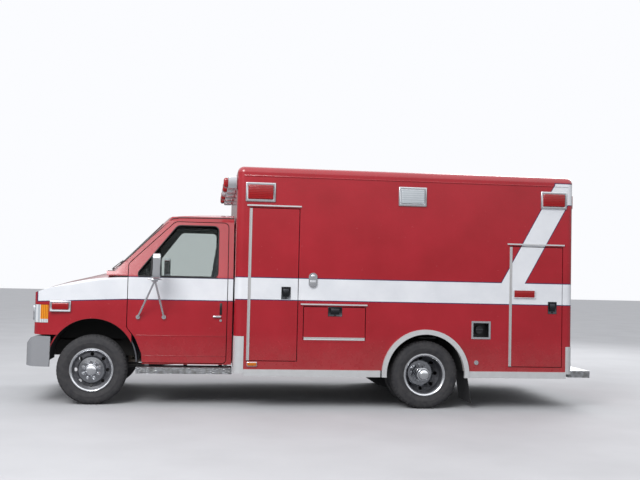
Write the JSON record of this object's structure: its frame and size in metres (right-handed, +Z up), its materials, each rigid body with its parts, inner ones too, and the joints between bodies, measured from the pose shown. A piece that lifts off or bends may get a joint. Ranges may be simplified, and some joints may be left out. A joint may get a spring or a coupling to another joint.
{
  "type": "van cutaway ambulance",
  "caption": "Full-size ambulance: van cab with a square patient module behind it, dual rear wheels, opening doors, hood and lockers, steering and rolling wheels.",
  "frame": {"origin": "on the ground under the middle of the vehicle's length and width", "axes": "+X towards the rear, +Y towards the kerb side, +Z up; the driver's side is at -Y"},
  "size_m": [6.07, 2.68, 2.53],
  "materials": {
    "red_paint": "gloss",
    "chassis_black": "matte",
    "engine_metal": "rough",
    "exhaust_steel": "satin",
    "clear_glass": "clear",
    "chrome_trim": "mirror",
    "wheel_steel": "polished",
    "tyre_rubber": "matte",
    "flap_rubber": "matte",
    "bright_aluminium": "satin",
    "grey_plastic": "matte",
    "white_laminate": "satin",
    "seat_vinyl": "satin",
    "red_lens": "gloss",
    "clear_lens": "gloss"
  },
  "bodies": {
    "root": {"frame_rails": "chassis_black", "front_axle": "chassis_black", "rear_axle": "chassis_black", "drive_shaft": "chassis_black", "engine_block": "engine_metal", "exhaust": "exhaust_steel", "fuel_tank": "chassis_black", "cab_shell": "red_paint", "windshield": "clear_glass", "front_fenders": "red_paint", "radiator_panel": "chassis_black", "grille": "chrome_trim", "headlamps": "clear_lens", "front_bumper": "chrome_trim", "cab_interior": "grey_plastic", "cushions": "seat_vinyl", "running_boards": "bright_aluminium", "module_left_wall": "red_paint", "module_right_wall": "red_paint", "module_front_wall": "red_paint", "module_rear_wall": "red_paint", "module_roof": "red_paint", "module_floor": "bright_aluminium", "locker_boxes": "bright_aluminium", "cabinets": "white_laminate", "lamp_housings": "chrome_trim", "red_lenses": "red_lens", "clear_lenses": "clear_lens", "skirt_trim": "bright_aluminium", "rear_step": "bright_aluminium", "mud_flaps": "flap_rubber", "side_fittings": "chrome_trim", "plate_bracket": "grey_plastic"},
    "hood": {"hood": "red_paint"},
    "cab_door_left": {"cab_door_left": "red_paint", "cab_glass_left": "clear_glass", "mirror_left": "chrome_trim"},
    "cab_door_right": {"cab_door_right": "red_paint", "cab_glass_right": "clear_glass", "mirror_right": "chrome_trim"},
    "left_front_locker_door": {"left_front_locker_door": "red_paint"},
    "left_middle_locker_door": {"left_middle_locker_door": "red_paint"},
    "left_rear_locker_door": {"left_rear_locker_door": "red_paint"},
    "right_rear_locker_door": {"right_rear_locker_door": "red_paint"},
    "entry_door": {"entry_door": "red_paint", "entry_glass": "clear_glass"},
    "rear_door_left": {"rear_door_left": "red_paint", "rear_glass_left": "clear_glass"},
    "rear_door_right": {"rear_door_right": "red_paint", "rear_glass_right": "clear_glass"},
    "knuckle_left": {"knuckle_left": "chassis_black"},
    "knuckle_right": {"knuckle_right": "chassis_black"},
    "front_wheel_left": {"front_tyre_left": "tyre_rubber", "front_wheel_left": "wheel_steel"},
    "front_wheel_right": {"front_tyre_right": "tyre_rubber", "front_wheel_right": "wheel_steel"},
    "rear_wheels_left": {"rear_tyres_left": "tyre_rubber", "rear_wheels_left": "wheel_steel"},
    "rear_wheels_right": {"rear_tyres_right": "tyre_rubber", "rear_wheels_right": "wheel_steel"}
  },
  "joints": [
    {"name": "hood_hinge", "type": "hinge", "parent": "root", "child": "hood", "pos_m": [-2.229, 0, 1.44], "axis": [0, 1, 0], "range_deg": [0, 50]},
    {"name": "cab_door_left_hinge", "type": "hinge", "parent": "root", "child": "cab_door_left", "pos_m": [-1.999, -1.011, 1.1], "axis": [0, 0, -1], "range_deg": [0, 65]},
    {"name": "cab_door_right_hinge", "type": "hinge", "parent": "root", "child": "cab_door_right", "pos_m": [-1.999, 1.011, 1.1], "axis": [0, 0, 1], "range_deg": [0, 65]},
    {"name": "left_front_locker_hinge", "type": "hinge", "parent": "root", "child": "left_front_locker_door", "pos_m": [-0.747, -1.211, 1.295], "axis": [0, 0, -1], "range_deg": [0, 105]},
    {"name": "left_middle_locker_hinge", "type": "hinge", "parent": "root", "child": "left_middle_locker_door", "pos_m": [0.169, -1.211, 0.724], "axis": [1, 0, 0], "range_deg": [0, 90]},
    {"name": "left_rear_locker_hinge", "type": "hinge", "parent": "root", "child": "left_rear_locker_door", "pos_m": [2.077, -1.211, 1.11], "axis": [0, 0, -1], "range_deg": [0, 105]},
    {"name": "right_rear_locker_hinge", "type": "hinge", "parent": "root", "child": "right_rear_locker_door", "pos_m": [2.077, 1.211, 1.11], "axis": [0, 0, 1], "range_deg": [0, 105]},
    {"name": "entry_door_hinge", "type": "hinge", "parent": "root", "child": "entry_door", "pos_m": [-0.221, 1.211, 1.366], "axis": [0, 0, 1], "range_deg": [0, 95]},
    {"name": "rear_door_left_hinge", "type": "hinge", "parent": "root", "child": "rear_door_left", "pos_m": [2.799, -0.624, 1.567], "axis": [0, 0, -1], "range_deg": [0, 110]},
    {"name": "rear_door_right_hinge", "type": "hinge", "parent": "root", "child": "rear_door_right", "pos_m": [2.799, 0.624, 1.567], "axis": [0, 0, 1], "range_deg": [0, 110]},
    {"name": "steer_left", "type": "hinge", "parent": "root", "child": "knuckle_left", "pos_m": [-2.347, -0.76, 0.362], "axis": [0, 0, 1], "range_deg": [-32, 32]},
    {"name": "steer_right", "type": "hinge", "parent": "root", "child": "knuckle_right", "pos_m": [-2.347, 0.76, 0.362], "axis": [0, 0, 1], "range_deg": [-32, 32]},
    {"name": "front_wheel_left_spin", "type": "hinge", "parent": "knuckle_left", "child": "front_wheel_left", "pos_m": [-2.347, -0.881, 0.362], "axis": [0, 1, 0], "continuous": true},
    {"name": "front_wheel_right_spin", "type": "hinge", "parent": "knuckle_right", "child": "front_wheel_right", "pos_m": [-2.347, 0.881, 0.362], "axis": [0, 1, 0], "continuous": true},
    {"name": "rear_wheels_left_spin", "type": "hinge", "parent": "root", "child": "rear_wheels_left", "pos_m": [1.158, -0.9455, 0.362], "axis": [0, 1, 0], "continuous": true},
    {"name": "rear_wheels_right_spin", "type": "hinge", "parent": "root", "child": "rear_wheels_right", "pos_m": [1.158, 0.9455, 0.362], "axis": [0, 1, 0], "continuous": true}
  ],
  "couplings": [
    {"joint": "steer_right", "follows": "steer_left", "ratio": 1}
  ]
}
